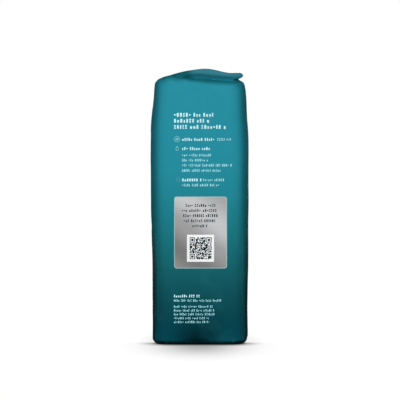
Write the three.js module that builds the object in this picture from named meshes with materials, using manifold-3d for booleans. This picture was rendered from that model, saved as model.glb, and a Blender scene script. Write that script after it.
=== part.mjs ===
// A filled coffee bag with folded-in sides, standing on its flat base, with its top pressed flat and folded over.
// Millimetres. Z is up from the base. X runs across the narrow side, from the front panel (-X) to the back panel (+X).
// Y runs along the wide panels, from one narrow side to the other. The bag is one sealed solid.
import * as THREE from "three";
import Module from "manifold-3d";

const wasm = await Module();
wasm.setup();

// Driving sizes
const DEPTH = 74.2; // front panel to back panel at the widest place
const WIDTH = 88; // one narrow side to the other
const CORNER = 13; // radius of the four upright corners
const BASE_EDGE = 5; // radius of the edge round the base
const PANEL_BOW = 1.2; // how far the wide panels swell past their corners, below the folded top
const SIDE_BOW = 2.2; // how far the narrow sides swell past their corners
const TOP_WIDTH = 86.8; // the folded top, from end to end

const { lerp, smoothstep } = THREE.MathUtils;
const QUARTER = Math.PI / 2;

// A smooth curve through rows of numbers, read at its first number
function curveThrough(rows) {
  const values = rows.flatMap((row) => row.slice(1));
  const curve = new THREE.CubicInterpolant(
    rows.map((row) => row[0]),
    values,
    values.length / rows.length,
  );
  return (at) => Array.from(curve.evaluate(at));
}

// The walls: height, then X of the front panel and of the back panel
const wallsAt = curveThrough([
  [0, -35.8, 36.2],
  [20, -35.5, 36.2],
  [57, -35.7, 36.5],
  [93, -36.5, 36.8],
  [135, -37.1, 37.1],
  [158, -36.9, 36.6],
  [171, -36.1, 35.7],
  [188, -34.6, 35.0],
]);
const WALL_TOP = 188;

// The filled body's own top: X, its height at the narrow sides, and how much higher it is inside, under the roof
const bodyTopAt = curveThrough([
  [-34.6, 188, 0],
  [-33.9, 193.2, 0],
  [-31.9, 197.0, 0],
  [-28.5, 199.2, 0],
  [-24, 200.7, 0],
  [-19.5, 201.4, 0],
  [-14, 200.5, 1.6],
  [-8, 199.5, 3.8],
  [-1, 198.8, 5.2],
  [4, 198.4, 5.4],
  [9, 198.2, 4.0],
  [20, 197.9, 3.4],
  [25, 197.7, 3.0],
  [29, 197.4, 1.2],
  [31.6, 196.9, 0],
  [33.4, 195.2, 0],
  [34.4, 192, 0],
  [35.0, 188, 0],
]);
const POCKET = [5, 14]; // the body rises inside between these distances from the narrow side
const shoulderRadius = (x) => lerp(4.6, 6.4, smoothstep(x, -25, 25));

// The roof and the flap, both films pressed together: X, height of the top, height of the underside, and how far each
// end lies back from the full width. The roof comes out of the front shoulder and the flap ends in a lip.
const FOLDED_TOP = [
  [-27, 198.9, 193.0, 6],
  [-22.5, 200.9, 194.4, 4],
  [-18, 202.2, 196.0, 2],
  [-13, 203.4, 198.2, 0.7],
  [-7, 204.5, 200.6, 0.1],
  [-1, 205.3, 201.3, 0],
  [4.3, 205.7, 200.9, 0],
  [8.5, 205.4, 200.4, 0],
  [13.1, 204.5, 199.9, 0],
  [19, 203.1, 199.4, 0],
  [23, 202.6, 199.1, 0],
  [28, 202.5, 198.8, 0],
  [30.4, 202.3, 198.9, 0],
  [31.6, 201.6, 199.5, 0.3],
  [31.9, 200.8, 200.3, 0.8],
];
const END_ROUND = 1.5; // radius of the folds at the ends of the roof and flap

// Closes a stack of loops into a solid. Each loop runs round so that its point i lies across from its point
// count - 1 - i, and both ends of the stack are closed straight across.
function solidOf(loops) {
  const count = loops[0].length;
  const faces = [];
  const quad = (a, b, c, d) => faces.push(a, b, c, a, c, d);
  for (let low = 0; low < (loops.length - 1) * count; low += count)
    for (let i = 0; i < count; i++) {
      const next = (i + 1) % count;
      quad(low + i, low + count + i, low + count + next, low + next);
    }
  const last = (loops.length - 1) * count;
  for (let i = 0; i + 1 < count / 2; i++) {
    quad(i, i + 1, count - 2 - i, count - 1 - i);
    quad(last + count - 1 - i, last + count - 2 - i, last + i + 1, last + i);
  }
  const mesh = new wasm.Mesh({
    numProp: 3,
    vertProperties: new Float32Array(loops.flat(2)),
    triVerts: new Uint32Array(faces),
  });
  return new wasm.Manifold(mesh);
}

// A rounded rectangle in plan, clockwise from above, starting in the middle of the narrow side at -Y. Its back half
// mirrors its front half.
const CORNER_STEPS = 5;
const SIDE_POINTS = 8;
const PANEL_POINTS = 7;
function plan(front, back, halfWidth, radius) {
  const middle = (front + back) / 2;
  const [left, end] = [front + radius, halfWidth - radius];
  const corner = (y, start) =>
    Array.from({ length: CORNER_STEPS + 1 }, (_, i) => {
      const angle = start - (QUARTER * i) / CORNER_STEPS;
      return [left + radius * Math.cos(angle), y + radius * Math.sin(angle)];
    });
  const nearSide = Array.from({ length: SIDE_POINTS }, (_, i) => {
    const share = (i + 0.5) / (SIDE_POINTS + 0.5);
    return [lerp(middle, left, share), -halfWidth];
  });
  const panel = Array.from({ length: PANEL_POINTS }, (_, i) => {
    const share = (i + 1) / (PANEL_POINTS + 1);
    return [front, lerp(-end, end, share)];
  });
  const farSide = nearSide.map(([x, y]) => [x, -y]).reverse();
  const half = [...nearSide, ...corner(-end, -QUARTER), ...panel, ...corner(end, 2 * QUARTER), ...farSide];
  const mirrored = half.map(([x, y]) => [2 * middle - x, y]);
  return [...half, ...mirrored.reverse()];
}

// Swells the panels, and draws each narrow side in just above the base, where the bottom fold pulls it.
const FOOT = { dent: 7, top: 32, edge: [1.5, 5.5], halfWidth: 18 };
function swell([x, y, z], halfWidth) {
  const along = x / (DEPTH / 2);
  const across = y / halfWidth;
  const nearPanel = Math.sign(x) * smoothstep(Math.abs(along), 0.7, 1);
  const nearSide = Math.sign(y) * smoothstep(Math.abs(across), 0.7, 1);
  const bow = PANEL_BOW * (1 - smoothstep(z, 130, 198)) * across ** 2;
  const bulge = SIDE_BOW * Math.max(0, 1 - along ** 2) * smoothstep(z, 0, 50);
  const depth = FOOT.dent * Math.max(0, 1 - z / FOOT.top) ** 2.2 * smoothstep(z, ...FOOT.edge);
  const dent = depth * Math.exp(-((x / FOOT.halfWidth) ** 2));
  return [x - bow * nearPanel, y + (bulge - dent) * nearSide, z];
}

const HALF_WIDTH = WIDTH / 2 - SIDE_BOW;
function wallLoop(z, inset) {
  const [front, back] = wallsAt(z);
  const outline = plan(front + inset, back - inset, HALF_WIDTH - inset, CORNER - 0.6 * inset);
  return outline.map(([x, y]) => swell([x, y, z], HALF_WIDTH));
}

// A loop over the body's top, at the given distance in from the walls
function topLoop(inset) {
  const [front, back] = wallsAt(WALL_TOP);
  const outline = plan(front + inset, back - inset, HALF_WIDTH - inset, Math.max(CORNER - inset, 1));
  return outline.map(([x, y]) => {
    const [height, rise] = bodyTopAt(x);
    const radius = shoulderRadius(x);
    const fromSide = HALF_WIDTH - Math.abs(y);
    const short = Math.max(0, radius - fromSide);
    const shoulder = radius - Math.sqrt(radius ** 2 - short ** 2);
    return swell([x, y, height - shoulder + rise * smoothstep(fromSide, ...POCKET)], HALF_WIDTH);
  });
}

// One loop round the roof and flap, seen from the narrow side, at a distance in from their ends
function foldedLoop(inset, side) {
  const spread = Math.sqrt(1 - (1 - inset / END_ROUND) ** 2);
  const row = ([x, top, under, back], height) => {
    const middle = (top + under) / 2;
    const half = (top - under) / 2;
    const reach = Math.max(0, half - END_ROUND * (1 - spread)) / half;
    return [x, side * (TOP_WIDTH / 2 - inset - back), middle + (height - middle) * reach];
  };
  const upper = FOLDED_TOP.map((station) => row(station, station[1]));
  const lower = FOLDED_TOP.map((station) => row(station, station[2]));
  return [...upper, ...lower.reverse()];
}

const baseLoops = [0, 1, 2, 3, 4].map((step) => {
  const angle = (step * QUARTER) / 4;
  return wallLoop(BASE_EDGE * (1 - Math.cos(angle)), BASE_EDGE * (1 - Math.sin(angle)));
});
const body = solidOf([
  ...baseLoops,
  ...[8, 12, 16, 21, 26, 32, 45, 65, 90, 115, 140, 158, 171, 180].map((z) => wallLoop(z, 0)),
  ...[0, 0.5, 1.4, 2.6, 4, 5.6, 8, 11, 14, 18, 23, 28, 32].map(topLoop),
]);
const ends = [0.02, 0.3, 0.8, END_ROUND];
const foldedTop = solidOf([
  ...ends.map((inset) => foldedLoop(inset, 1)),
  ...ends.toReversed().map((inset) => foldedLoop(inset, -1)),
]);

// The finished bag is one solid
const { vertProperties, triVerts } = wasm.Manifold.union(body, foldedTop).getMesh();
const geometry = new THREE.BufferGeometry();
geometry.setAttribute("position", new THREE.BufferAttribute(vertProperties, 3));
geometry.setIndex(new THREE.BufferAttribute(triVerts, 1));
geometry.computeVertexNormals();

const bag = new THREE.Mesh(geometry, new THREE.MeshStandardMaterial({ color: 0x1b7887, roughness: 0.5 }));
bag.name = "bag";

const coffeeBag = new THREE.Group();
coffeeBag.add(bag);
export default coffeeBag;
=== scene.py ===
import math
import random

import bmesh
import bpy
import numpy as np
from mathutils import Matrix, Vector, noise
from mathutils.bvhtree import BVHTree


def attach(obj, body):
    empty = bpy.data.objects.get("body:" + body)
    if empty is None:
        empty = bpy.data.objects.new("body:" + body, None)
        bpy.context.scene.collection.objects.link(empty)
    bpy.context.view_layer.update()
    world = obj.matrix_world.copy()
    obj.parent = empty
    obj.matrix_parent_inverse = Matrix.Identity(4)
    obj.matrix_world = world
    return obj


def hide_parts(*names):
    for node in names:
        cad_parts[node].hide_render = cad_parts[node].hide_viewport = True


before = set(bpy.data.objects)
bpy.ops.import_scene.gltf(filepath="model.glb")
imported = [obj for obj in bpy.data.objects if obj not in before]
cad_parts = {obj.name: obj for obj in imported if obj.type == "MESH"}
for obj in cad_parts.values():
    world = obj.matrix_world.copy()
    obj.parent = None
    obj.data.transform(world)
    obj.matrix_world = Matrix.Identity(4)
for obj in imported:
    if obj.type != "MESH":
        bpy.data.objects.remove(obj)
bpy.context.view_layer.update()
scene = bpy.context.scene

# The film: one sheet of printed plastic laminate, made into a tube with folded-in sides, filled with ground coffee and
# stood on its folded bottom. Its pressed top is folded over to the back, as a roof with a flap that ends in a crimped
# seal. The body is lofted ring by ring, the roof from end to end, and the two are joined. Millimetres, then metres.
WALL_TOP = 188.0  # the straight walls end here, and the shoulder starts
HALF_WIDTH = 41.8  # middle to narrow side, without the side's bulge
CORNER = 13.0
BASE_EDGE = 4.6
PANEL_BOW, SIDE_BULGE = 1.2, 2.2
FOOT_DENT, FOOT_DENT_TOP = 7.0, 32.0
ROOF_HALF = 43.4  # half the length of the roof and flap
ROOF_ROUND = 2.2  # radius of the folds at the roof's ends
CRIMP_DEPTH, LIP_DRAWN_IN = 0.11, 2.6
SIDE_POINTS, CORNER_STEPS, PANEL_POINTS = 27, 8, 44  # round a loop of the body
MM = 0.001


def curve_through(rows):
    """A smooth curve through rows of numbers, read at its first number."""
    rows = np.array(rows, dtype=float)
    at, values = rows[:, 0], rows[:, 1:]
    slopes = np.gradient(values, at, axis=0)

    def read(x):
        x = min(max(x, at[0]), at[-1])
        i = min(max(int(np.searchsorted(at, x)) - 1, 0), len(at) - 2)
        span = at[i + 1] - at[i]
        t = (x - at[i]) / span
        t2, t3 = t * t, t * t * t
        return (
            (2 * t3 - 3 * t2 + 1) * values[i]
            + (t3 - 2 * t2 + t) * span * slopes[i]
            + (3 * t2 - 2 * t3) * values[i + 1]
            + (t3 - t2) * span * slopes[i + 1]
        )

    return read


def ease(value, start, end):
    """Rises softly from 0 at the start to 1 at the end. The end may be the lower of the two."""
    t = min(max((value - start) / (end - start), 0.0), 1.0)
    return t * t * (3 - 2 * t)


# Height, then X of the front wall and of the back wall
walls_at = curve_through([
    [0, -35.8, 36.6],
    [20, -35.1, 36.95],
    [40, -35.2, 36.8],
    [57, -35.6, 36.85],
    [69, -36.15, 36.8],
    [93, -36.35, 37.3],
    [115, -36.75, 37.15],
    [135, -37.2, 37.5],
    [143, -37.15, 37.6],
    [158, -36.7, 36.85],
    [171, -35.9, 35.7],
    [188, -34.6, 35.0],
])
# X, height of the body's top at the narrow sides, and how much higher it is inside, under the roof
body_top_at = curve_through([
    [-34.6, 188, 0],
    [-33.9, 193.2, 0],
    [-31.9, 197.0, 0],
    [-28.5, 199.2, 0],
    [-24, 200.7, 0],
    [-19.5, 201.4, 0],
    [-14, 200.5, 1.6],
    [-8, 199.5, 3.8],
    [-1, 198.8, 5.2],
    [4, 198.4, 5.4],
    [9, 198.2, 4.0],
    [20, 197.9, 3.4],
    [25, 197.7, 3.0],
    [29, 197.4, 1.2],
    [31.6, 196.9, 0],
    [33.4, 195.2, 0],
    [34.4, 192, 0],
    [35.0, 188, 0],
])
# Along the roof and flap: X, height of the top and of the underside, and how far the ends lie back
folded_top_at = curve_through([
    [-27, 198.9, 193.0, 6],
    [-22.5, 200.9, 194.4, 4],
    [-18, 202.2, 196.0, 2],
    [-13, 203.4, 198.2, 0.7],
    [-7, 204.5, 200.6, 0.1],
    [-1, 205.3, 201.3, 0],
    [4.3, 205.7, 200.9, 0],
    [8.5, 205.4, 200.4, 0],
    [13.1, 204.5, 199.9, 0],
    [19, 203.1, 199.4, 0],
    [23, 202.6, 199.1, 0],
    [28, 202.6, 198.1, 0],
    [29.5, 202.6, 198.1, 0],
    [30.6, 202.5, 198.5, 0],
    [31.8, 202.0, 199.2, 0.2],
    [32.4, 201.4, 199.8, 0.4],
    [32.6, 200.8, 200.4, 0.8],
])


def plan(front, back, half_width, radius):
    """A rounded rectangle, from the middle of the near side round by the front; its back half mirrors its front."""
    middle = (front + back) / 2
    left, end = front + radius, half_width - radius
    half = []
    for i in range(SIDE_POINTS):
        half.append((middle + (left - middle) * (i + 0.5) / (SIDE_POINTS + 0.5), -half_width))
    for i in range(CORNER_STEPS + 1):
        angle = -math.pi / 2 * (1 + i / CORNER_STEPS)
        half.append((left + radius * math.cos(angle), -end + radius * math.sin(angle)))
    for i in range(PANEL_POINTS):
        half.append((front, end * (2 * (i + 1) / (PANEL_POINTS + 1) - 1)))
    half += [(x, -y) for x, y in reversed(half[: SIDE_POINTS + CORNER_STEPS + 1])]
    return half + [(2 * middle - x, y) for x, y in reversed(half)]


def swell(x, y, z):
    """Bows the panels out, and draws each narrow side in just above the base."""
    along, across = x / 37.1, y / HALF_WIDTH
    bow = PANEL_BOW * (1 - ease(z, 130, 198)) * across**2 * math.copysign(1, x) * ease(abs(along), 0.7, 1)
    dent = FOOT_DENT * max(0.0, 1 - z / FOOT_DENT_TOP) ** 2.2 * ease(z, 1.5, 5.5) * math.exp(-((x / 18) ** 2))
    out = SIDE_BULGE * max(0.0, 1 - along**2) * ease(z, 0, 50) - dent
    return x - bow, y + out * math.copysign(1, y) * ease(abs(across), 0.7, 1), z


def wall_loop(z, inset=0.0):
    """A loop round the body at a height, drawn in by an inset."""
    front, back = walls_at(z)
    outline = plan(front + inset, back - inset, HALF_WIDTH - inset, max(CORNER - 0.6 * inset, 2))
    return [swell(x, y, z) for x, y in outline]


def top_loop(inset):
    """A loop over the body's top, at a distance in from the walls."""
    front, back = walls_at(WALL_TOP)
    outline = plan(front + inset, back - inset, HALF_WIDTH - inset, max(CORNER - inset, 1.0))
    loop = []
    for x, y in outline:
        height, rise = body_top_at(x)
        radius = 6.0 + 2.4 * ease(x, -25, 30)
        from_side = HALF_WIDTH - abs(y)
        short = max(0.0, radius - from_side)
        shoulder = radius - math.sqrt(radius**2 - short**2)
        loop.append(swell(x, y, height - shoulder + rise * ease(from_side, 3, 11)))
    return loop


def folded_loop(across):
    """One loop round the roof and flap, seen from the narrow side, at a distance from the bag's middle."""
    inset = min(ROOF_HALF - abs(across), ROOF_ROUND)
    spread = math.sqrt(1 - (1 - inset / ROOF_ROUND) ** 2)
    upper, lower = [], []
    roof, crimps = np.linspace(-27, 20, 48), np.arange(20.25, 30.1, 0.25)
    lip = [30.5, 31, 31.5, 31.9, 32.2, 32.4, 32.53, 32.6]
    for x in np.concatenate([roof, crimps, lip]):
        top, under, back = folded_top_at(x)
        top += CRIMP_DEPTH * (math.cos((x - 21) * 2 * math.pi) - 1) * ease(x, 20.5, 21.5) * (1 - ease(x, 29, 30))
        under -= 4.0 * ease(ROOF_HALF - abs(across), 0.6, 9) * (1 - ease(x, 25, 29.5))
        drawn_in = LIP_DRAWN_IN * ease(x, 10, 32.6) * (1 - ease(abs(across), 35, 42))
        middle, half = (top + under) / 2, (top - under) / 2
        reach = max(0.0, half - min(ROOF_ROUND, half) * (1 - spread))
        y = across * (1 - back / ROOF_HALF)
        upper.append((x - drawn_in, y, middle + reach))
        lower.append((x - drawn_in, y, middle - reach))
    return upper + lower[::-1]


def loft(bm, loops):
    """Extrudes a ring through the loops, and closes both ends with a face."""
    ring = bmesh.ops.create_circle(bm, segments=len(loops[0]), radius=1)["verts"]
    for vert, place in zip(ring, loops[0]):
        vert.co = place
    edges = [bm.edges.get((a, b)) for a, b in zip(ring, ring[1:] + ring[:1])]
    bmesh.ops.contextual_create(bm, geom=edges)
    for loop in loops[1:]:
        made = bmesh.ops.extrude_edge_only(bm, edges=edges)["geom"]
        fresh = {e for e in made if isinstance(e, bmesh.types.BMVert)}
        step = []
        for vert, place in zip(ring, loop):
            above = next(e.other_vert(vert) for e in vert.link_edges if e.other_vert(vert) in fresh)
            above.co = place
            step.append(above)
        ring = step
        edges = [bm.edges.get((a, b)) for a, b in zip(ring, ring[1:] + ring[:1])]
    bmesh.ops.contextual_create(bm, geom=edges)


def add_piece(name, bm):
    """Makes an object of a finished bmesh, with its place in its mesh."""
    mesh = bpy.data.meshes.new(name)
    bm.to_mesh(mesh)
    bm.free()
    piece = bpy.data.objects.new(name, mesh)
    scene.collection.objects.link(piece)
    return piece


recess = [wall_loop(z, inset) for z, inset in ((0.8, 9.5), (0.8, 8.5), (0.55, 7), (0.1, 6), (0, 5.2))]
base_turn = [(math.pi / 2) * i / 6 for i in range(7)]
base_edge = [wall_loop(BASE_EDGE * (1 - math.cos(a)), BASE_EDGE * (1 - math.sin(a))) for a in base_turn]
walls = [wall_loop(z) for z in np.linspace(6.2, 184, 88)]
rising = [
    [tuple(np.array(low) * (1 - share) + np.array(high) * share) for low, high in zip(walls[-1], top_loop(0))]
    for share in (0.17, 0.34, 0.51, 0.68, 0.84)
]
insets = (0, 0.3, 0.8, 1.4, 2.1, 2.9, 3.8, 4.8, 6, 7.5, 9, 11, 13, 15, 18, 21, 25, 29, 32)
body_bm = bmesh.new()
loft(body_bm, recess + base_edge + walls + rising + [top_loop(inset) for inset in insets])
bmesh.ops.recalc_face_normals(body_bm, faces=body_bm.faces)
film = add_piece("bag_film", body_bm)
roof_bm = bmesh.new()
ends = [43.38, 43.2, 42.85, 42.3, 41.6]
loft(roof_bm, [folded_loop(y) for y in ends + list(np.linspace(40.5, -40.5, 33)) + [-y for y in reversed(ends)]])
bmesh.ops.recalc_face_normals(roof_bm, faces=roof_bm.faces)
roof = add_piece("bag_roof", roof_bm)
join = film.modifiers.new("join", "BOOLEAN")
join.operation = "UNION"
join.solver = "MANIFOLD"
join.object = roof
joined = bpy.data.meshes.new_from_object(film.evaluated_get(bpy.context.evaluated_depsgraph_get()))
film.modifiers.clear()
film.data = joined
joined.name = "bag_film"
bpy.data.objects.remove(roof)


# The filling pushes the film out unevenly, most on the wide panels. Four masks are kept for the finish: the pressed
# ends of the roof, painted shade in the tuck and on the edge at the foot, the folds and corners that rub, and painted
# shade along the upright corners, over the shoulders and under the flap.
def filling_push(x, y, z, lean):
    """How far the film is pushed out at a place, or drawn in along its creases."""
    near = ease(-y, 34, 41) * (1 - ease(z, 186, 192))
    panel = ease(abs(lean[0]), 0.6, 0.95) * ease(z, 10, 30) * (1 - ease(z, 184, 196))
    soft = noise.noise(Vector((x / 30, y / 30, z / 42)))
    small = noise.noise(Vector((x / 11 + 7, y / 11, z / 17)))
    crease = max(0.0, 1 - 6 * abs(noise.noise(Vector((x / 50 + 3, (y + 0.3 * z) / 21, (z - 0.2 * y) / 34))))) ** 2
    pulled = max(ease(z, 140, 185), ease(z, 62, 18)) * ease(abs(y), 2, 22) * (1 - 0.9 * ease(-y, 12, 26))
    push = (0.55 * soft + 0.16 * small) * (1 - abs(lean[2])) * (1 - 0.75 * near)
    push += panel * ((0.5 * soft + 0.12 * small) * (1 - 0.8 * ease(-y, 12, 26)) - 0.75 * crease * pulled)
    return push


def painted_foot_shade(x, y, z, lean):
    """Painted shade in the tuck at the foot of each narrow side, and on the edge where the base turns under."""
    tuck = max(0.0, 1 - z / 31) ** 1.6 * math.exp(-(((x + 2) / 16) ** 2)) * ease(abs(y), 26, 34)
    return max(tuck, ease(z, 3.2, 1.9) * (1 - ease(-lean[2], 0.85, 0.98)))


def rubbed_fold(x, y, z):
    """The upright corners, the crest of the roof and the foot, which rub on other packs."""
    corner = ease(abs(x), 27, 34) * ease(abs(y), 32, 39)
    return max(corner, ease(abs(z - 204), 4, 0) * 0.6, ease(z, 9, 2))


def corner_shade(x, y, z, lean):
    """Painted shade on the upright corners, a soft band narrower and deeper low down, and where they meet the top."""
    wide_rim = 0.72 * ease(abs(lean[0]), 0.55, 0.9) * ease(abs(y), 25, 33) * (1 - ease(z, 194, 200))
    wide_rim += 0.2 * ease(abs(lean[0]), 0.9, 0.97) * ease(abs(y), 28, 33) * (1 - ease(z, 192, 198))
    thin_rim = ease(abs(lean[0]), 0.78, 0.92) * ease(abs(y), 21, 29)
    upright = wide_rim + (thin_rim - wide_rim) * ease(z, 110, 40)
    front_corner = 0.6 * ease(-x, 27.5, 31.5) * ease(z, 191, 195.5) * ease(abs(y), 29, 36)
    back_corner = 0.55 * ease(x, 23, 30) * ease(z, 189, 195) * ease(abs(y), 30, 37)
    return max(upright, max(front_corner, back_corner) * (1 - ease(lean[2], 0.8, 0.94)))


def shoulder_shade(x, y, z, lean):
    """Painted shade on the shoulders at the narrow sides, under the roof's front and the flap, and at the lip's ends.
    """
    shoulder = ease(lean[2], 0.3, 0.95) * ease(z, 186, 194) * (1 - ease(z, 200, 201.5)) * ease(abs(y), 28, 39)
    shoulder *= (1 - 0.4 * math.exp(-((x / 11) ** 2))) * (1 - 0.25 * ease(x, 4, 16)) * ease(x, -16, -6)
    crown = max(198.5, folded_top_at(x)[0] if x > -27 else body_top_at(x)[0])
    deep = (crown - z - 3.5 * ease(x, -24, -14)) / 5
    front = 0.9 * min(max(0.0, 1 - deep), 1.0) * ease(-x, 0, 10) * ease(abs(y), 34, 38) * ease(z, 191, 195)
    front *= 1 - ease(lean[2], 0.86, 0.94)
    lip = 0.75 * ease(x, 20, 27) * ease(z, 199, 200) * ease(abs(y), 36, 42)
    cleft = 0.2 * ease(-lean[2], 0.3, 0.9) * ease(z, 185, 192)
    return max(shoulder, front, lip, cleft)


count = len(joined.vertices)
places = np.empty(count * 3)
normals = np.empty(count * 3)
joined.vertices.foreach_get("co", places)
joined.vertex_normals.foreach_get("vector", normals)
places, normals = places.reshape(-1, 3), normals.reshape(-1, 3)
masks = {name: np.zeros(count) for name in ("pressed_end", "painted_foot_shade", "rubbed_fold", "edge_shade")}
for i in range(count):
    x, y, z = places[i]
    lean = normals[i]
    masks["pressed_end"][i] = ease(z, 199.2, 200.2) * ease(abs(y), 40.6, 42.2) * ease(x, -9, -1)
    masks["painted_foot_shade"][i] = painted_foot_shade(x, y, z, lean)
    masks["rubbed_fold"][i] = rubbed_fold(x, y, z)
    masks["edge_shade"][i] = max(corner_shade(x, y, z, lean), shoulder_shade(x, y, z, lean))
    places[i] += lean * filling_push(x, y, z, lean) * ease(z, 1.5, 14)
joined.vertices.foreach_set("co", (places * MM).ravel())
for name, values in masks.items():
    joined.attributes.new(name, "FLOAT", "POINT").data.foreach_set("value", values)
joined.update()
joined.shade_smooth()
joined.set_sharp_from_angle(angle=math.radians(50))


def linear(red, green, blue):
    """A screen colour, from 0 to 255, in the linear light that materials use."""
    channels = [c / 255 for c in (red, green, blue)]
    return tuple(c / 12.92 if c <= 0.04045 else ((c + 0.055) / 1.055) ** 2.4 for c in channels) + (1.0,)


def laminate_grain():
    """The film's own grain: a fine matt tooth, soft creases, and patches where the matt coat is a little thinner."""
    group = bpy.data.node_groups.new("laminate_grain", "ShaderNodeTree")
    face = group.interface
    for name, start in (("Tooth", 1.0), ("Creases", 1.0), ("Patches", 1.0)):
        face.new_socket(name, in_out="INPUT", socket_type="NodeSocketFloat").default_value = start
    face.new_socket("Height", in_out="OUTPUT", socket_type="NodeSocketFloat")
    face.new_socket("Thin", in_out="OUTPUT", socket_type="NodeSocketFloat")
    nodes, links = group.nodes, group.links
    given, made = nodes.new("NodeGroupInput"), nodes.new("NodeGroupOutput")
    place = nodes.new("ShaderNodeTexCoord")

    def pattern(scale, detail, stretch=(1, 1, 1)):
        turn = nodes.new("ShaderNodeMapping")
        turn.inputs["Scale"].default_value = stretch
        links.new(place.outputs["Object"], turn.inputs["Vector"])
        grain = nodes.new("ShaderNodeTexNoise")
        grain.inputs["Scale"].default_value = scale
        grain.inputs["Detail"].default_value = detail
        links.new(turn.outputs["Vector"], grain.inputs["Vector"])
        return grain.outputs["Fac"]

    def times(value, socket, share):
        scaled = nodes.new("ShaderNodeMath")
        scaled.operation = "MULTIPLY"
        links.new(value, scaled.inputs[0])
        links.new(given.outputs[socket], scaled.inputs[1])
        part = nodes.new("ShaderNodeMath")
        part.operation = "MULTIPLY"
        links.new(scaled.outputs[0], part.inputs[0])
        part.inputs[1].default_value = share
        return part.outputs[0]

    tooth = times(pattern(2600, 2), "Tooth", 0.05)
    creases = times(pattern(34, 3, (1, 1, 0.6)), "Creases", 1.0)
    total = nodes.new("ShaderNodeMath")
    links.new(tooth, total.inputs[0])
    links.new(creases, total.inputs[1])
    links.new(total.outputs[0], made.inputs["Height"])
    links.new(times(pattern(60, 4), "Patches", 1.0), made.inputs["Thin"])
    return group


grain_group = laminate_grain()


def finish(name, roughness, tooth, swing):
    """A principled material on the laminate's grain, whose roughness swings where the matt coat is thin."""
    material = bpy.data.materials.new(name)
    material.use_nodes = True
    nodes, links = material.node_tree.nodes, material.node_tree.links
    shader = nodes["Principled BSDF"]
    shader.inputs["Specular IOR Level"].default_value = 0.25
    grain = nodes.new("ShaderNodeGroup")
    grain.node_tree = grain_group
    grain.inputs["Tooth"].default_value = tooth
    relief = nodes.new("ShaderNodeBump")
    relief.inputs["Strength"].default_value = 0.5
    relief.inputs["Distance"].default_value = 0.0004
    links.new(grain.outputs["Height"], relief.inputs["Height"])
    links.new(relief.outputs["Normal"], shader.inputs["Normal"])
    gloss = nodes.new("ShaderNodeMapRange")
    gloss.inputs["To Min"].default_value = roughness - swing
    gloss.inputs["To Max"].default_value = roughness + swing
    links.new(grain.outputs["Thin"], gloss.inputs["Value"])
    links.new(gloss.outputs["Result"], shader.inputs["Roughness"])
    return material, nodes, links, shader, grain


film_skin, nodes, links, shader, grain = finish("printed_film", 0.46, tooth=2.0, swing=0.08)
coords = nodes.new("ShaderNodeTexCoord")
split = nodes.new("ShaderNodeSeparateXYZ")
links.new(coords.outputs["Object"], split.inputs["Vector"])
height = nodes.new("ShaderNodeMapRange")
height.inputs["From Max"].default_value = 0.206
links.new(split.outputs["Z"], height.inputs["Value"])


def fill_ramp(ramp, tones):
    """Gives a colour ramp its stops, from low to high."""
    stops = ramp.color_ramp.elements
    stops[0].position, stops[0].color = tones[0]
    stops[1].position, stops[1].color = tones[-1]
    for position, colour in tones[1:-1]:
        stops.new(position).color = colour


# The film's colour by height: darker towards the bottom, partly the print's own gradient and partly painted shade, with
# a lighter stop at the very foot for a painted highlight just above the base
blend = nodes.new("ShaderNodeValToRGB")
blend.color_ramp.interpolation = "B_SPLINE"
fill_ramp(blend, [
    (0.0, linear(1, 75, 88)),
    (0.12, linear(8, 61, 70)),
    (0.3, linear(23, 100, 107)),
    (0.46, linear(28, 123, 133)),
    (0.64, linear(38, 140, 158)),
    (1.0, linear(38, 140, 158)),
])
links.new(height.outputs["Result"], blend.inputs["Fac"])


def mask(name):
    """One of the film's own masks."""
    kept = nodes.new("ShaderNodeAttribute")
    kept.attribute_name = name
    return kept.outputs["Fac"]


def tinted(below, amount, share, colour, way="MIX"):
    """Lays a colour over the one below, by a mask times a share."""
    scaled = nodes.new("ShaderNodeMath")
    scaled.operation = "MULTIPLY"
    scaled.inputs[1].default_value = share
    links.new(amount, scaled.inputs[0])
    over = nodes.new("ShaderNodeMix")
    over.data_type = "RGBA"
    over.blend_type = way
    over.inputs["B"].default_value = colour
    links.new(scaled.outputs[0], over.inputs["Factor"])
    links.new(below, over.inputs["A"])
    return over.outputs["Result"]


scuffs = nodes.new("ShaderNodeTexNoise")
scuffs.inputs["Scale"].default_value = 420
scuffs.inputs["Detail"].default_value = 5
links.new(coords.outputs["Object"], scuffs.inputs["Vector"])
flecks = nodes.new("ShaderNodeMapRange")
flecks.inputs["From Min"].default_value = 0.6
flecks.inputs["From Max"].default_value = 0.72
links.new(scuffs.outputs["Fac"], flecks.inputs["Value"])
worn = nodes.new("ShaderNodeMath")
worn.operation = "MULTIPLY"
links.new(flecks.outputs["Result"], worn.inputs[0])
links.new(mask("rubbed_fold"), worn.inputs[1])
# Painted shade: the film's colour is deepened along the upright corners, over the shoulders and under the flap
toned = tinted(blend.outputs["Color"], mask("edge_shade"), 1.0, linear(60, 141, 136), "MULTIPLY")
# Painted shade, nearly black, in the tuck at the foot and on the base's turned-under edge
toned = tinted(toned, mask("painted_foot_shade"), 1.0, linear(0, 10, 14))
toned = tinted(toned, mask("pressed_end"), 0.8, linear(56, 119, 133))
thin_coat = nodes.new("ShaderNodeMapRange")
thin_coat.inputs["From Min"].default_value = 0.52
thin_coat.inputs["From Max"].default_value = 0.72
links.new(grain.outputs["Thin"], thin_coat.inputs["Value"])
toned = tinted(toned, thin_coat.outputs["Result"], 0.05, linear(80, 165, 182))
toned = tinted(toned, worn.outputs[0], 0.1, linear(110, 168, 176))
links.new(toned, shader.inputs["Base Color"])
film.data.materials.clear()
film.data.materials.append(film_skin)
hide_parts("bag")
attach(film, "root")

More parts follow.
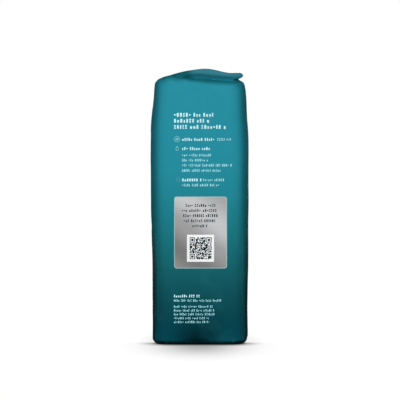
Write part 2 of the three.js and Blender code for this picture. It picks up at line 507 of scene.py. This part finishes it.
# The long seam down the back panel: the sheet's two edges welded inside to inside into a ribbed fin, which is folded
# flat to one side. It runs from the bottom fold up over the back shoulder, to end under the flap.
film_tree = BVHTree.FromObject(film, bpy.context.evaluated_depsgraph_get())
SEAM_LOW, SEAM_TURN, SEAM_END = 3.0, 186.0, 196.8
SEAM_BEND = 26.0  # X of the line that its top bends round
FIN_START, FIN_WIDE = -5.2, 9.6
seam_bm = bmesh.new()
bmesh.ops.create_grid(seam_bm, x_segments=9, y_segments=480, size=0.5)
for vert in seam_bm.verts:
    share = vert.co.x + 0.5
    across = FIN_START + FIN_WIDE * share
    level = SEAM_LOW + (SEAM_END - SEAM_LOW) * (vert.co.y + 0.5)
    turn = max(0.0, level - SEAM_TURN) / 9
    way = Vector((math.cos(turn), 0, math.sin(turn)))
    start = Vector((SEAM_BEND, across, min(level, SEAM_TURN)))
    outside = 60 if turn == 0 else 12.6  # over the shoulder, between the film and the flap
    place, _, _, _ = film_tree.ray_cast((start + way * outside) * MM, -way)
    rib = 0.07 * math.cos(level * 2 * math.pi / 1.6) * ease(share, 0.1, 0.25) * (1 - ease(share, 0.8, 0.95))
    proud = 0.12 + 0.5 * ease(share, 0.0, 0.12) + rib
    vert.co = place + way * proud * MM
edge = [e for e in seam_bm.edges if e.is_boundary]
rim = bmesh.ops.extrude_edge_only(seam_bm, edges=edge)["geom"]
for vert in [e for e in rim if isinstance(e, bmesh.types.BMVert)]:
    turn = math.atan2(max(0.0, vert.co.z / MM - SEAM_TURN), vert.co.x / MM - SEAM_BEND)
    vert.co -= Vector((math.cos(turn), 0, math.sin(turn))) * 0.8 * MM
bmesh.ops.recalc_face_normals(seam_bm, faces=seam_bm.faces)
if sum(face.normal.x for face in seam_bm.faces) < 0:
    bmesh.ops.reverse_faces(seam_bm, faces=seam_bm.faces)
seam = add_piece("back_seam", seam_bm)
seam.data.materials.append(film_skin)
seam.data.shade_smooth()
seam.data.set_sharp_from_angle(angle=math.radians(50))
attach(seam, "root")

# The folded bottom: the tube's end is turned in from the narrow sides as two triangles, and its wide panels are folded
# over them and welded along a ribbed strip. All of it is film, and it lies inside the base's raised ring.
bottom_bm = bmesh.new()
for side in (-1, 1):
    triangle = bmesh.ops.create_circle(bottom_bm, cap_ends=True, segments=3, radius=1)["verts"]
    for vert, place in zip(triangle, ((-25, 31.5), (25, 31.5), (0, 9))):
        vert.co = (place[0], side * place[1], 0.56)
flat = bottom_bm.faces[:]
lifted = bmesh.ops.extrude_face_region(bottom_bm, geom=flat)["geom"]
bmesh.ops.translate(bottom_bm, verts=[e for e in lifted if isinstance(e, bmesh.types.BMVert)], vec=(0, 0, 0.3))
STRIP_WIDE, STRIP_LONG, RIB_STEP = 13, 62, 1.6
strip = bmesh.ops.create_grid(bottom_bm, x_segments=6, y_segments=130, size=0.5)["verts"]
for vert in strip:
    along = vert.co.y * STRIP_LONG
    ridge = 0.06 * math.cos(along * 2 * math.pi / RIB_STEP) * (1 - ease(abs(vert.co.x), 0.3, 0.42))
    vert.co = (vert.co.x * STRIP_WIDE, along, 0.36 + ridge)
strip_faces = list(dict.fromkeys(face for vert in strip for face in vert.link_faces))
raised = bmesh.ops.extrude_face_region(bottom_bm, geom=strip_faces)["geom"]
for vert in [e for e in raised if isinstance(e, bmesh.types.BMVert)]:
    vert.co.z = 0.9
bmesh.ops.recalc_face_normals(bottom_bm, faces=bottom_bm.faces)
bmesh.ops.scale(bottom_bm, verts=bottom_bm.verts, vec=(MM, MM, MM))
bottom = add_piece("bottom_fold", bottom_bm)
bottom.data.materials.append(film_skin)
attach(bottom, "root")

# The white print on the two narrow sides: ink on the film, a title in three rows, two small signs with their rows, a
# ring of dots, and fine rows at the foot. Its words are bricks that spell nothing. It is drawn flat and laid on.
rng = random.Random(41)
# Each side's ray towards the film, for a place across it and at a level
SIDES = {
    "near": lambda across, level: ((across, -0.2, level), (0, 1, 0)),
    "far": lambda across, level: ((-across, 0.2, level), (0, -1, 0)),
    "front": lambda across, level: ((-0.2, -across, level), (1, 0, 0)),
    "back": lambda across, level: ((0.2, across, level), (-1, 0, 0)),
}


def lay_on(bm, side, lift):
    """Lays artwork, drawn in X and Y, on one side of the bag, proud of the film by its lift and its own height."""
    for vert in bm.verts:
        start, way = SIDES[side](vert.co.x * MM, vert.co.y * MM)
        place, normal, _, _ = film_tree.ray_cast(Vector(start), Vector(way))
        vert.co = place + normal * (lift + vert.co.z) * MM
    bmesh.ops.recalc_face_normals(bm, faces=bm.faces)
    outward = -Vector(SIDES[side](0, 0)[1])
    turned = [face for face in bm.faces if face.normal.dot(outward) < 0]
    bmesh.ops.reverse_faces(bm, faces=turned)


# Kinds of brick, by how often they come: the spans of the row's height that each one fills
BRICKS = [(0.4, [(0, 1)]), (0.75, [(0, 0.68)]), (0.9, [(0, 0.36), (0.56, 1)]), (1.0, [(0.3, 0.68)])]
BRICK_GAP, GROUP_GAP = 0.32, 0.5  # of the row's height


def add_block(bm, left, low, right, high, slant=0.0, cells=(1, 1)):
    """A level rectangle of ink, which may lean, cut into cells where it has to follow the film."""
    middle = Matrix.Translation(((left + right) / 2, (low + high) / 2, 0))
    lean = Matrix.Identity(4)
    lean[0][1] = slant
    size = Matrix.Diagonal((right - left, high - low, 1, 1))
    block = bmesh.ops.create_grid(bm, x_segments=cells[0], y_segments=cells[1], size=0.5, matrix=middle @ lean @ size)
    return block["verts"]


def add_row(bm, left, right, level, tall, weight, slant=0.0):
    """A row of upright bricks in groups of three to seven, from left to right."""
    at, low = left, level - tall / 2
    while at < right - 0.3 * tall:
        for _ in range(rng.randint(3, 7)):
            wide = tall * rng.uniform(0.75, 1.25) * weight
            if at + wide > right:
                break
            kind = rng.random()
            spans = next(fills for limit, fills in BRICKS if kind < limit)
            for start, end in spans:
                add_block(bm, at, low + start * tall, at + wide, low + end * tall, slant)
            at += wide + tall * BRICK_GAP
        at += tall * GROUP_GAP


def add_ring(bm, x, y, outer, inner, segments=32):
    """A flat ring between two radii."""
    rings = []
    for radius in (outer, inner):
        circle = bmesh.ops.create_circle(bm, segments=segments, radius=radius, matrix=Matrix.Translation((x, y, 0)))
        rings += [edge for vert in circle["verts"] for edge in vert.link_edges]
    bmesh.ops.bridge_loops(bm, edges=list(dict.fromkeys(rings)))


def add_dot(bm, x, y, radius, segments=10):
    """A filled round dot."""
    bmesh.ops.create_circle(bm, cap_ends=True, segments=segments, radius=radius, matrix=Matrix.Translation((x, y, 0)))


def add_drop(bm, x, y, tall, line):
    """A drop in outline: two rings drawn up to a point, bridged."""
    rings = []
    for shrink in (0.0, line):
        circle = bmesh.ops.create_circle(bm, segments=28, radius=1)["verts"]
        rings += [edge for vert in circle for edge in vert.link_edges]
        for vert in circle:
            rise = (vert.co.y + 1) / 2
            pinch = 1 - max(0.0, rise - 0.35) ** 1.2 * 1.35
            vert.co.x = x + vert.co.x * (tall * 0.36 - shrink) * max(pinch, 0.03)
            vert.co.y = y + vert.co.y * (tall / 2 - shrink * (1 + rise))
    bmesh.ops.bridge_loops(bm, edges=list(dict.fromkeys(rings)))


def add_star(bm, x, y, reach, line):
    """A star of three crossed lines."""
    for turn in range(3):
        arm = add_block(bm, -reach, -line / 2, reach, line / 2)
        bmesh.ops.rotate(bm, verts=arm, cent=(0, 0, 0), matrix=Matrix.Rotation(math.radians(60 * turn + 30), 3, "Z"))
        bmesh.ops.translate(bm, verts=arm, vec=(x, y, 0))


def ink(name, colour):
    """Printing ink: nearly flat in colour, and a little thinner where the film's grain stands up."""
    material, nodes, links, shader, grain = finish(name, 0.5, tooth=0.6, swing=0.06)
    full, thin = linear(*colour), linear(*[c * 0.9 for c in colour])
    tone = nodes.new("ShaderNodeMix")
    tone.data_type = "RGBA"
    tone.inputs["A"].default_value = full
    tone.inputs["B"].default_value = thin
    links.new(grain.outputs["Thin"], tone.inputs["Factor"])
    links.new(tone.outputs["Result"], shader.inputs["Base Color"])
    return material


def add_artwork(name, artwork, side, material, lift=0.05):
    """Lays finished artwork on a side of the bag, and makes it a piece of print."""
    lay_on(artwork, side, lift)
    piece = add_piece(name, artwork)
    piece.data.materials.append(material)
    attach(piece, "root")
    return piece


white_ink = ink("white_ink", (205, 250, 254))
soft_ink = ink("soft_white_ink", (172, 236, 245))
MARGIN, INDENT = -18.7, -12.7  # where the titles start, and the rows beside the small signs
for side in ("near", "far"):
    bold = bmesh.new()
    for level, right in ((171.2, 10.4), (166.8, 7.5), (162.2, 19.9)):
        add_row(bold, MARGIN, right, level, 2.8, 0.44)
    for level, right in ((152.9, 12.5), (146.1, 9.6), (122.8, 2.0)):
        add_row(bold, INDENT, right, level, 2.1, 0.46)
    add_row(bold, MARGIN - 0.1, 1.3, 36.5, 2.0, 0.44)
    add_artwork(f"bold_print_{side}", bold, side, white_ink)
    fine = bmesh.new()
    add_row(fine, 13.5, 24.1, 152.9, 1.9, 0.34, 0.22)
    for level, right in ((141.2, 8.6), (137.5, 7.2), (133.7, 24.2), (129.8, 17.8)):
        add_row(fine, INDENT, right, level, 1.9, 0.36, 0.22)
    add_row(fine, 3.0, 19.6, 122.8, 1.9, 0.36)
    add_row(fine, INDENT, 15.3, 119.0, 1.9, 0.36)
    for level, right in ((33.2, 16.5), (28.7, 10.1), (25.8, 11.9), (22.95, 12.2), (20.0, 7.3), (17.1, 8.3)):
        add_row(fine, MARGIN - 0.1, right, level, 1.7, 0.32)
    add_ring(fine, -16.5, 153.1, 2.15, 1.95)
    add_star(fine, -16.5, 153.1, 1.45, 0.22)
    add_drop(fine, -16.4, 146.3, 3.4, 0.26)
    for turn in range(8):
        angle = math.radians(45 * turn)
        add_dot(fine, -15.7 + 1.35 * math.cos(angle), 123.2 + 1.35 * math.sin(angle), 0.17)
    add_artwork(f"fine_print_{side}", fine, side, soft_ink)

# The silver window on each narrow side: foil ink with a brushed grain and a soft painted shine, a pale edge, dark rows
# of bricks, and a white square with a patch of random small squares that encodes nothing.
WINDOW = (-18.6, 57.1, 20.6, 110.4)  # left, low, right, high
WINDOW_EDGE, WINDOW_MIDDLE = 0.45, 1.0
PATCH_CELLS, FRAME_CELLS, PATCH_FILLED = 29, 7, 0.62


def silver_ink(name, way, start, end):
    """Silver ink with a painted soft shine along a direction, brushed level, and its tones between two distances."""
    material = bpy.data.materials.new(name)
    material.use_nodes = True
    nodes, links = material.node_tree.nodes, material.node_tree.links
    shader = nodes["Principled BSDF"]
    shader.inputs["Metallic"].default_value = 0.25
    shader.inputs["Specular IOR Level"].default_value = 0.4
    coords = nodes.new("ShaderNodeTexCoord")
    slope = nodes.new("ShaderNodeVectorMath")
    slope.operation = "DOT_PRODUCT"
    slope.inputs[1].default_value = way
    links.new(coords.outputs["Object"], slope.inputs[0])
    drift = nodes.new("ShaderNodeTexNoise")
    drift.inputs["Scale"].default_value = 22
    drift.inputs["Detail"].default_value = 1
    links.new(coords.outputs["Object"], drift.inputs["Vector"])
    wander = nodes.new("ShaderNodeMath")
    wander.operation = "MULTIPLY_ADD"
    wander.inputs[1].default_value = 0.12
    links.new(drift.outputs["Fac"], wander.inputs[0])
    links.new(slope.outputs["Value"], wander.inputs[2])
    spread = nodes.new("ShaderNodeMapRange")
    spread.inputs["From Min"].default_value = start
    spread.inputs["From Max"].default_value = end
    links.new(wander.outputs[0], spread.inputs["Value"])
    # Painted reflection: the foil's light and dark bands of shine are laid into its colour, along the direction
    shine = nodes.new("ShaderNodeValToRGB")
    shine.color_ramp.interpolation = "EASE"
    fill_ramp(shine, [
        (0.0, linear(186, 187, 188)),
        (0.3, linear(223, 224, 225)),
        (0.55, linear(178, 178, 178)),
        (0.8, linear(138, 138, 137)),
        (1.0, linear(164, 163, 162)),
    ])
    links.new(spread.outputs["Result"], shine.inputs["Fac"])
    combed = nodes.new("ShaderNodeMapping")
    combed.inputs["Scale"].default_value = (60, 60, 2200)
    links.new(coords.outputs["Object"], combed.inputs["Vector"])
    brush = nodes.new("ShaderNodeTexNoise")
    brush.inputs["Scale"].default_value = 1
    brush.inputs["Detail"].default_value = 3
    links.new(combed.outputs["Vector"], brush.inputs["Vector"])
    streak = nodes.new("ShaderNodeMapRange")
    streak.inputs["To Min"].default_value = 0.9
    streak.inputs["To Max"].default_value = 1.08
    links.new(brush.outputs["Fac"], streak.inputs["Value"])
    streaked = nodes.new("ShaderNodeMix")
    streaked.data_type = "RGBA"
    streaked.blend_type = "MULTIPLY"
    streaked.inputs["Factor"].default_value = 1
    links.new(shine.outputs["Color"], streaked.inputs["A"])
    links.new(streak.outputs["Result"], streaked.inputs["B"])
    links.new(streaked.outputs["Result"], shader.inputs["Base Color"])
    gloss = nodes.new("ShaderNodeMapRange")
    gloss.inputs["To Min"].default_value = 0.3
    gloss.inputs["To Max"].default_value = 0.46
    links.new(brush.outputs["Fac"], gloss.inputs["Value"])
    links.new(gloss.outputs["Result"], shader.inputs["Roughness"])
    relief = nodes.new("ShaderNodeBump")
    relief.inputs["Strength"].default_value = 0.25
    relief.inputs["Distance"].default_value = 0.00002
    links.new(brush.outputs["Fac"], relief.inputs["Height"])
    links.new(relief.outputs["Normal"], shader.inputs["Normal"])
    return material


foil = silver_ink("silver_foil_ink", (-13.27, 0, -18.76), -2.2646, -0.7646)
edge_ink = ink("pale_edge_ink", (178, 208, 214))
dark_ink = ink("dark_ink", (6, 40, 48))
square_ink = ink("white_square_ink", (255, 255, 255))


def add_window(bm, left, low, right, high, rounding, cells=(18, 24)):
    """A rectangle with rounded corners, cut into cells so that it follows the film."""
    verts = add_block(bm, left, low, right, high, cells=cells)
    corners = [vert for vert in verts if len(vert.link_edges) == 2]
    bmesh.ops.bevel(
        bm, geom=corners, offset=rounding, segments=5, profile=0.5, affect="VERTICES", material=-1, clamp_overlap=True
    )


def add_patch(bm, left, low, size):
    """Random small squares, with a framed square in three of the corners."""
    cell, last = size / PATCH_CELLS, PATCH_CELLS - FRAME_CELLS
    frames = [(0, 0), (0, last), (last, last)]
    for row in range(PATCH_CELLS):
        for column in range(PATCH_CELLS):
            near_frame = any(-1 <= column - c <= FRAME_CELLS and -1 <= row - r <= FRAME_CELLS for c, r in frames)
            if near_frame or rng.random() > PATCH_FILLED:
                continue
            x, y = left + column * cell, low + row * cell
            add_block(bm, x, y, x + cell, y + cell)
    for column, row in frames:
        x, y = left + column * cell, low + row * cell
        for start, end in (((0, 0), (7, 1)), ((0, 6), (7, 7)), ((0, 1), (1, 6)), ((6, 1), (7, 6)), ((2, 2), (5, 5))):
            add_block(bm, x + start[0] * cell, y + start[1] * cell, x + end[0] * cell, y + end[1] * cell)


for side in ("near", "far"):
    left, low, right, high = WINDOW
    frame_print = bmesh.new()
    add_window(frame_print, left, low, right, high, 1.9)
    add_artwork(f"window_edge_{side}", frame_print, side, edge_ink)
    shine = bmesh.new()
    add_window(shine, left + WINDOW_EDGE, low + WINDOW_EDGE, right - WINDOW_EDGE, high - WINDOW_EDGE, 1.6)
    add_artwork(f"foil_window_{side}", shine, side, foil, 0.1)
    square = bmesh.new()
    add_block(square, -9.1, 62.0, 10.96, 82.1, cells=(10, 10))
    add_artwork(f"white_square_{side}", square, side, square_ink, 0.16)
    dark = bmesh.new()
    for level, half in ((103.9, 11.1), (100.1, 13.9), (96.3, 12.85), (92.5, 12.4), (88.7, 6.1)):
        add_row(dark, WINDOW_MIDDLE - half, WINDOW_MIDDLE + half, level, 2.1, 0.38)
    add_patch(dark, -7.1, 63.9, 16.3)
    add_artwork(f"dark_print_{side}", dark, side, dark_ink, 0.22)


# The front panel's print, in the same inks: a ring with a coffee bean, rows of bricks, and a silver band with dark rows
# and five small rings, three of them filled. Above them is the round vent that lets the coffee's gas out.
def add_bean(bm, x, y, wide, tall, tilt):
    """A coffee bean as two halves of an oval, parted by a bent line."""
    for hand in (-1, 1):
        half = bmesh.ops.create_circle(bm, cap_ends=True, segments=48, radius=1)["verts"]
        for vert in half:
            bend = 0.22 * math.sin(vert.co.y * math.pi)
            edge = bend + hand * 0.08
            vert.co.x = min(vert.co.x, edge) if hand < 0 else max(vert.co.x, edge)
            vert.co.x, vert.co.y = vert.co.x * wide, vert.co.y * tall
        bmesh.ops.rotate(bm, verts=half, cent=(0, 0, 0), matrix=Matrix.Rotation(tilt, 3, "Z"))
        bmesh.ops.translate(bm, verts=half, vec=(x, y, 0))


EMBLEM_LEVEL = 136
front = bmesh.new()
add_ring(front, 0, EMBLEM_LEVEL, 17, 16.1, 72)
add_ring(front, 0, EMBLEM_LEVEL, 14.9, 14.5, 72)
add_bean(front, 0, EMBLEM_LEVEL, 6.2, 9.0, math.radians(-28))
add_row(front, -24, 24, 109, 5.2, 0.44)
add_row(front, -16, 17, 100, 3.2, 0.44)
add_row(front, -11, 12, 30, 3.0, 0.44)
add_artwork("bold_print_front", front, "front", white_ink)
front = bmesh.new()
add_row(front, -22, 23, 94.4, 1.9, 0.36, 0.22)
add_row(front, -15, 16, 24.4, 1.8, 0.34)
add_artwork("fine_print_front", front, "front", soft_ink)
band = bmesh.new()
add_window(band, -27, 46, 27, 86, 2.4, cells=(30, 20))
add_artwork("band_edge_front", band, "front", edge_ink, 0.08)
# The band's foil carries the same painted shine
band_foil = silver_ink("silver_band_ink", (0, -9.0, -22.0), -2.05, -0.65)
band = bmesh.new()
add_window(band, -26.5, 46.5, 26.5, 85.5, 2.0, cells=(30, 20))
add_artwork("foil_band_front", band, "front", band_foil, 0.14)
band = bmesh.new()
for level, half, tall in ((79.5, 19, 3.0), (74.2, 22, 2.1), (69.6, 14, 2.1)):
    add_row(band, -half, half, level, tall, 0.4)
for place in range(5):
    add_ring(band, -12 + 6 * place, 57, 2.3, 1.9, 28)
    if place < 3:
        add_dot(band, -12 + 6 * place, 57, 1.4, 20)
add_artwork("dark_print_front", band, "front", dark_ink, 0.22)

# The vent: a small plastic valve welded behind the film, which stands out round it as a low disc with five pin holes,
# shown as dark ink dots of painted shade.
# Its profile is spun round, then laid on the front panel.
VENT_LEVEL = 169
vent = bmesh.new()
profile = [(11.2, 0.02), (10.8, 0.3), (10.0, 0.62), (9.0, 0.72), (6.6, 0.72), (6.1, 0.5), (5.4, 0.42)]
profile += [(2.6, 0.42), (0.0, 0.42)]
chain = [vent.verts.new((radius, 0, up)) for radius, up in profile]
edges = [vent.edges.new(pair) for pair in zip(chain, chain[1:])]
bmesh.ops.spin(vent, geom=chain + edges, axis=(0, 0, 1), cent=(0, 0, 0), angle=2 * math.pi, steps=56, use_merge=True)
bmesh.ops.remove_doubles(vent, verts=vent.verts, dist=0.0001)
bmesh.ops.translate(vent, verts=vent.verts, vec=(0, VENT_LEVEL, 0))
valve = add_artwork("vent_front", vent, "front", film_skin, 0.0)
valve.data.shade_smooth()
# The pin holes: dark ink dots painted where the holes' shade would be
holes = bmesh.new()
for turn in range(5):
    angle = math.radians(72 * turn + 18)
    add_dot(holes, 3.4 * math.cos(angle), VENT_LEVEL + 3.4 * math.sin(angle), 0.32, 12)
add_artwork("vent_holes_front", holes, "front", dark_ink, 0.45)

# The back panel's print, in the same two white inks on both sides of the seam: fine rows in paragraphs under short
# titles, and a table ruled in white lines with a row of bricks on each line.
ROW_STEP, TABLE_STEP = 3.2, 6.0
TABLE = (9, 72, 31, 151)  # left, low, right, high
left, low, right, high = TABLE
back = bmesh.new()
add_row(back, -31, -12, 168, 2.6, 0.44)
add_row(back, left, 26, 168, 2.6, 0.44)
add_row(back, -31, -15, 92, 2.2, 0.44)
add_row(back, left, 27, 60, 2.2, 0.44)
for level in (low, high - 1):
    add_block(back, left, level, right, level + 1, cells=(8, 1))
for start in (left, right - 0.5):
    add_block(back, start, low + 1, start + 0.5, high - 1, cells=(1, 30))
add_artwork("bold_print_back", back, "back", white_ink)
back = bmesh.new()
for step in range(17):
    if step not in (6, 12):
        add_row(back, -31, -9 - rng.uniform(0, 6), 161 - ROW_STEP * step, 1.7, 0.34)
for step in range(6):
    add_row(back, -31, -10 - rng.uniform(0, 7), 86 - ROW_STEP * step, 1.7, 0.34)
for step in range(12):
    level = 145 - TABLE_STEP * step
    add_row(back, 10.6, 18 + rng.uniform(0, 4), level, 1.8, 0.34)
    add_row(back, 26, 29.6, level, 1.8, 0.34)
    add_block(back, 10.4, level - 3.1, 29.8, level - 2.9, cells=(8, 1))
for step in range(5):
    add_row(back, left, 28 - rng.uniform(0, 7), 54 - ROW_STEP * step, 1.7, 0.34)
add_artwork("fine_print_back", back, "back", soft_ink)

# The floor is a round pale sweep that fades out into the white behind it. It glows a little, as backlit paper does,
# and a painted soft shadow pools under the pack and in front of it, with painted contact shade at its foot.
floor_bm = bmesh.new()
bmesh.ops.create_circle(floor_bm, cap_ends=True, segments=96, radius=0.9)
floor_mesh = bpy.data.meshes.new("floor")
floor_bm.to_mesh(floor_mesh)
floor_bm.free()
floor = bpy.data.objects.new("floor", floor_mesh)
scene.collection.objects.link(floor)
paper = bpy.data.materials.new("floor_paper")
paper.use_nodes = True
nodes, links = paper.node_tree.nodes, paper.node_tree.links
sheet = nodes["Principled BSDF"]
sheet.inputs["Roughness"].default_value = 0.9
sheet.inputs["Specular IOR Level"].default_value = 0.0
coords = nodes.new("ShaderNodeTexCoord")


def floor_sum(kind, first, second):
    """One step of arithmetic on numbers or sockets."""
    step = nodes.new("ShaderNodeMath")
    step.operation = kind
    for socket, value in zip(step.inputs, (first, second)):
        if isinstance(value, (int, float)):
            socket.default_value = value
        else:
            links.new(value, socket)
    return step.outputs[0]


axes = nodes.new("ShaderNodeSeparateXYZ")
links.new(coords.outputs["Object"], axes.inputs["Vector"])


def away_from_middle(axis, half, power):
    """How far a place is from the floor's middle along one axis, in halves of the painted shadow, to a power."""
    distance = floor_sum("ABSOLUTE", axes.outputs[axis], 0)
    return floor_sum("POWER", floor_sum("MULTIPLY", distance, 1 / half), power)


# The painted shadow under the pack and in front of it, darkest in the middle and fading across X and along Y
out = floor_sum("ADD", away_from_middle("X", 0.031, 2), away_from_middle("Y", 0.118, 3))
painted_shadow_pool = floor_sum("EXPONENT", floor_sum("MULTIPLY", out, -1), 0)


def floor_step(start, end, share):
    """Rises from 0 at one distance along Y to a share at another."""
    ramp = nodes.new("ShaderNodeMapRange")
    ramp.interpolation_type = "SMOOTHSTEP"
    ramp.inputs["From Min"].default_value = start
    ramp.inputs["From Max"].default_value = end
    ramp.inputs["To Max"].default_value = share
    links.new(axes.outputs["Y"], ramp.inputs["Value"])
    return ramp.outputs["Result"]


# The painted shade is full beside the pack, weak right in front of it, and a little stronger behind
before = floor_sum("SUBTRACT", 0.85, floor_step(-0.031, -0.014, 0.85))
ends = floor_sum("ADD", floor_sum("ADD", before, 0.15), floor_step(0.036, 0.06, 0.35))
# Painted contact shade round the pack's foot, read from the ambient occlusion node and laid into the floor's colour and
# glow
near_shade = nodes.new("ShaderNodeAmbientOcclusion")
near_shade.inputs["Distance"].default_value = 0.014
near_shade.samples = 8
contact = floor_sum("SUBTRACT", 1, floor_sum("POWER", near_shade.outputs["AO"], 1.35))
open_light = floor_sum("SUBTRACT", 1, floor_sum("MULTIPLY", floor_sum("MULTIPLY", painted_shadow_pool, 0.62), ends))
shade = floor_sum("MULTIPLY", open_light, floor_sum("SUBTRACT", 1, floor_sum("MULTIPLY", contact, ends)))
links.new(floor_sum("MULTIPLY", shade, 0.1), sheet.inputs["Base Color"])
links.new(shade, sheet.inputs["Emission Color"])
sheet.inputs["Emission Strength"].default_value = 0.95
reach = nodes.new("ShaderNodeVectorMath")
reach.operation = "LENGTH"
links.new(coords.outputs["Object"], reach.inputs[0])
fade = nodes.new("ShaderNodeMapRange")
fade.interpolation_type = "SMOOTHSTEP"
fade.inputs["From Min"].default_value = 0.28
fade.inputs["From Max"].default_value = 0.5
fade.inputs["To Min"].default_value = 1.0
fade.inputs["To Max"].default_value = 0.0
links.new(reach.outputs["Value"], fade.inputs["Value"])
links.new(fade.outputs["Result"], sheet.inputs["Alpha"])
floor.data.materials.append(paper)
floor.visible_diffuse = False
floor.visible_glossy = False


# Soft studio light: a large softbox square in front of the narrow side, whose light falls off to dark edges as in the
# photo, two behind for the back and the wide panels, and a dim one overhead.
def softbox(name, place, target, size, power):
    """A rectangular light that shines at a target, and isn't itself seen or mirrored."""
    lamp = bpy.data.lights.new(name, "AREA")
    lamp.shape = "RECTANGLE"
    lamp.size, lamp.size_y = size
    lamp.energy = power
    box = bpy.data.objects.new(name, lamp)
    box.location = place
    box.rotation_euler = (Vector(target) - Vector(place)).to_track_quat("-Z", "Y").to_euler()
    box.visible_camera = False
    box.visible_glossy = False
    scene.collection.objects.link(box)


softbox("front_light", (-0.05, -1.6, 0.32), (0, 0, 0.11), (0.32, 0.32), 24.5)
softbox("left_back_light", (-1.1, 1.05, 0.45), (0, 0, 0.1), (0.5, 0.5), 18)
softbox("right_back_light", (1.1, 1.05, 0.45), (0, 0, 0.1), (0.5, 0.5), 18)
softbox("top_light", (0, 0.1, 1.5), (0, 0, 0), (0.6, 0.6), 5)

# The white that the camera sees behind the bag. The bag itself gets only a twentieth of it, from all round, so that
# the softboxes shape it.
world = bpy.data.worlds.new("studio")
scene.world = world
world.use_nodes = True
nodes, links = world.node_tree.nodes, world.node_tree.links
nodes.clear()
seen = nodes.new("ShaderNodeBackground")
seen.inputs["Color"].default_value = (1, 1, 1, 1)
seen.inputs["Strength"].default_value = 1.0
around = nodes.new("ShaderNodeBackground")
around.inputs["Color"].default_value = (0.92, 0.96, 1.0, 1)
around.inputs["Strength"].default_value = 0.05
path = nodes.new("ShaderNodeLightPath")
choose = nodes.new("ShaderNodeMixShader")
sky = nodes.new("ShaderNodeOutputWorld")
links.new(path.outputs["Is Camera Ray"], choose.inputs["Fac"])
links.new(around.outputs["Background"], choose.inputs[1])
links.new(seen.outputs["Background"], choose.inputs[2])
links.new(choose.outputs["Shader"], sky.inputs["Surface"])
scene.view_settings.view_transform = "Standard"

# The camera stands level, square to the narrow side and 1.2 m from it, a little above half its height. Its lens is
# set by how wide the picture is at that side.
CAMERA_AWAY, PICTURE_WIDE = 1.2, 0.29712
camera = bpy.data.objects.new("camera", bpy.data.cameras.new("camera"))
camera.data.sensor_width = 36
camera.data.lens = camera.data.sensor_width * CAMERA_AWAY / PICTURE_WIDE
camera.location = (0.00056, -0.044 - CAMERA_AWAY, 0.1079)
camera.rotation_euler = (math.pi / 2, 0, 0)
scene.collection.objects.link(camera)
scene.camera = camera
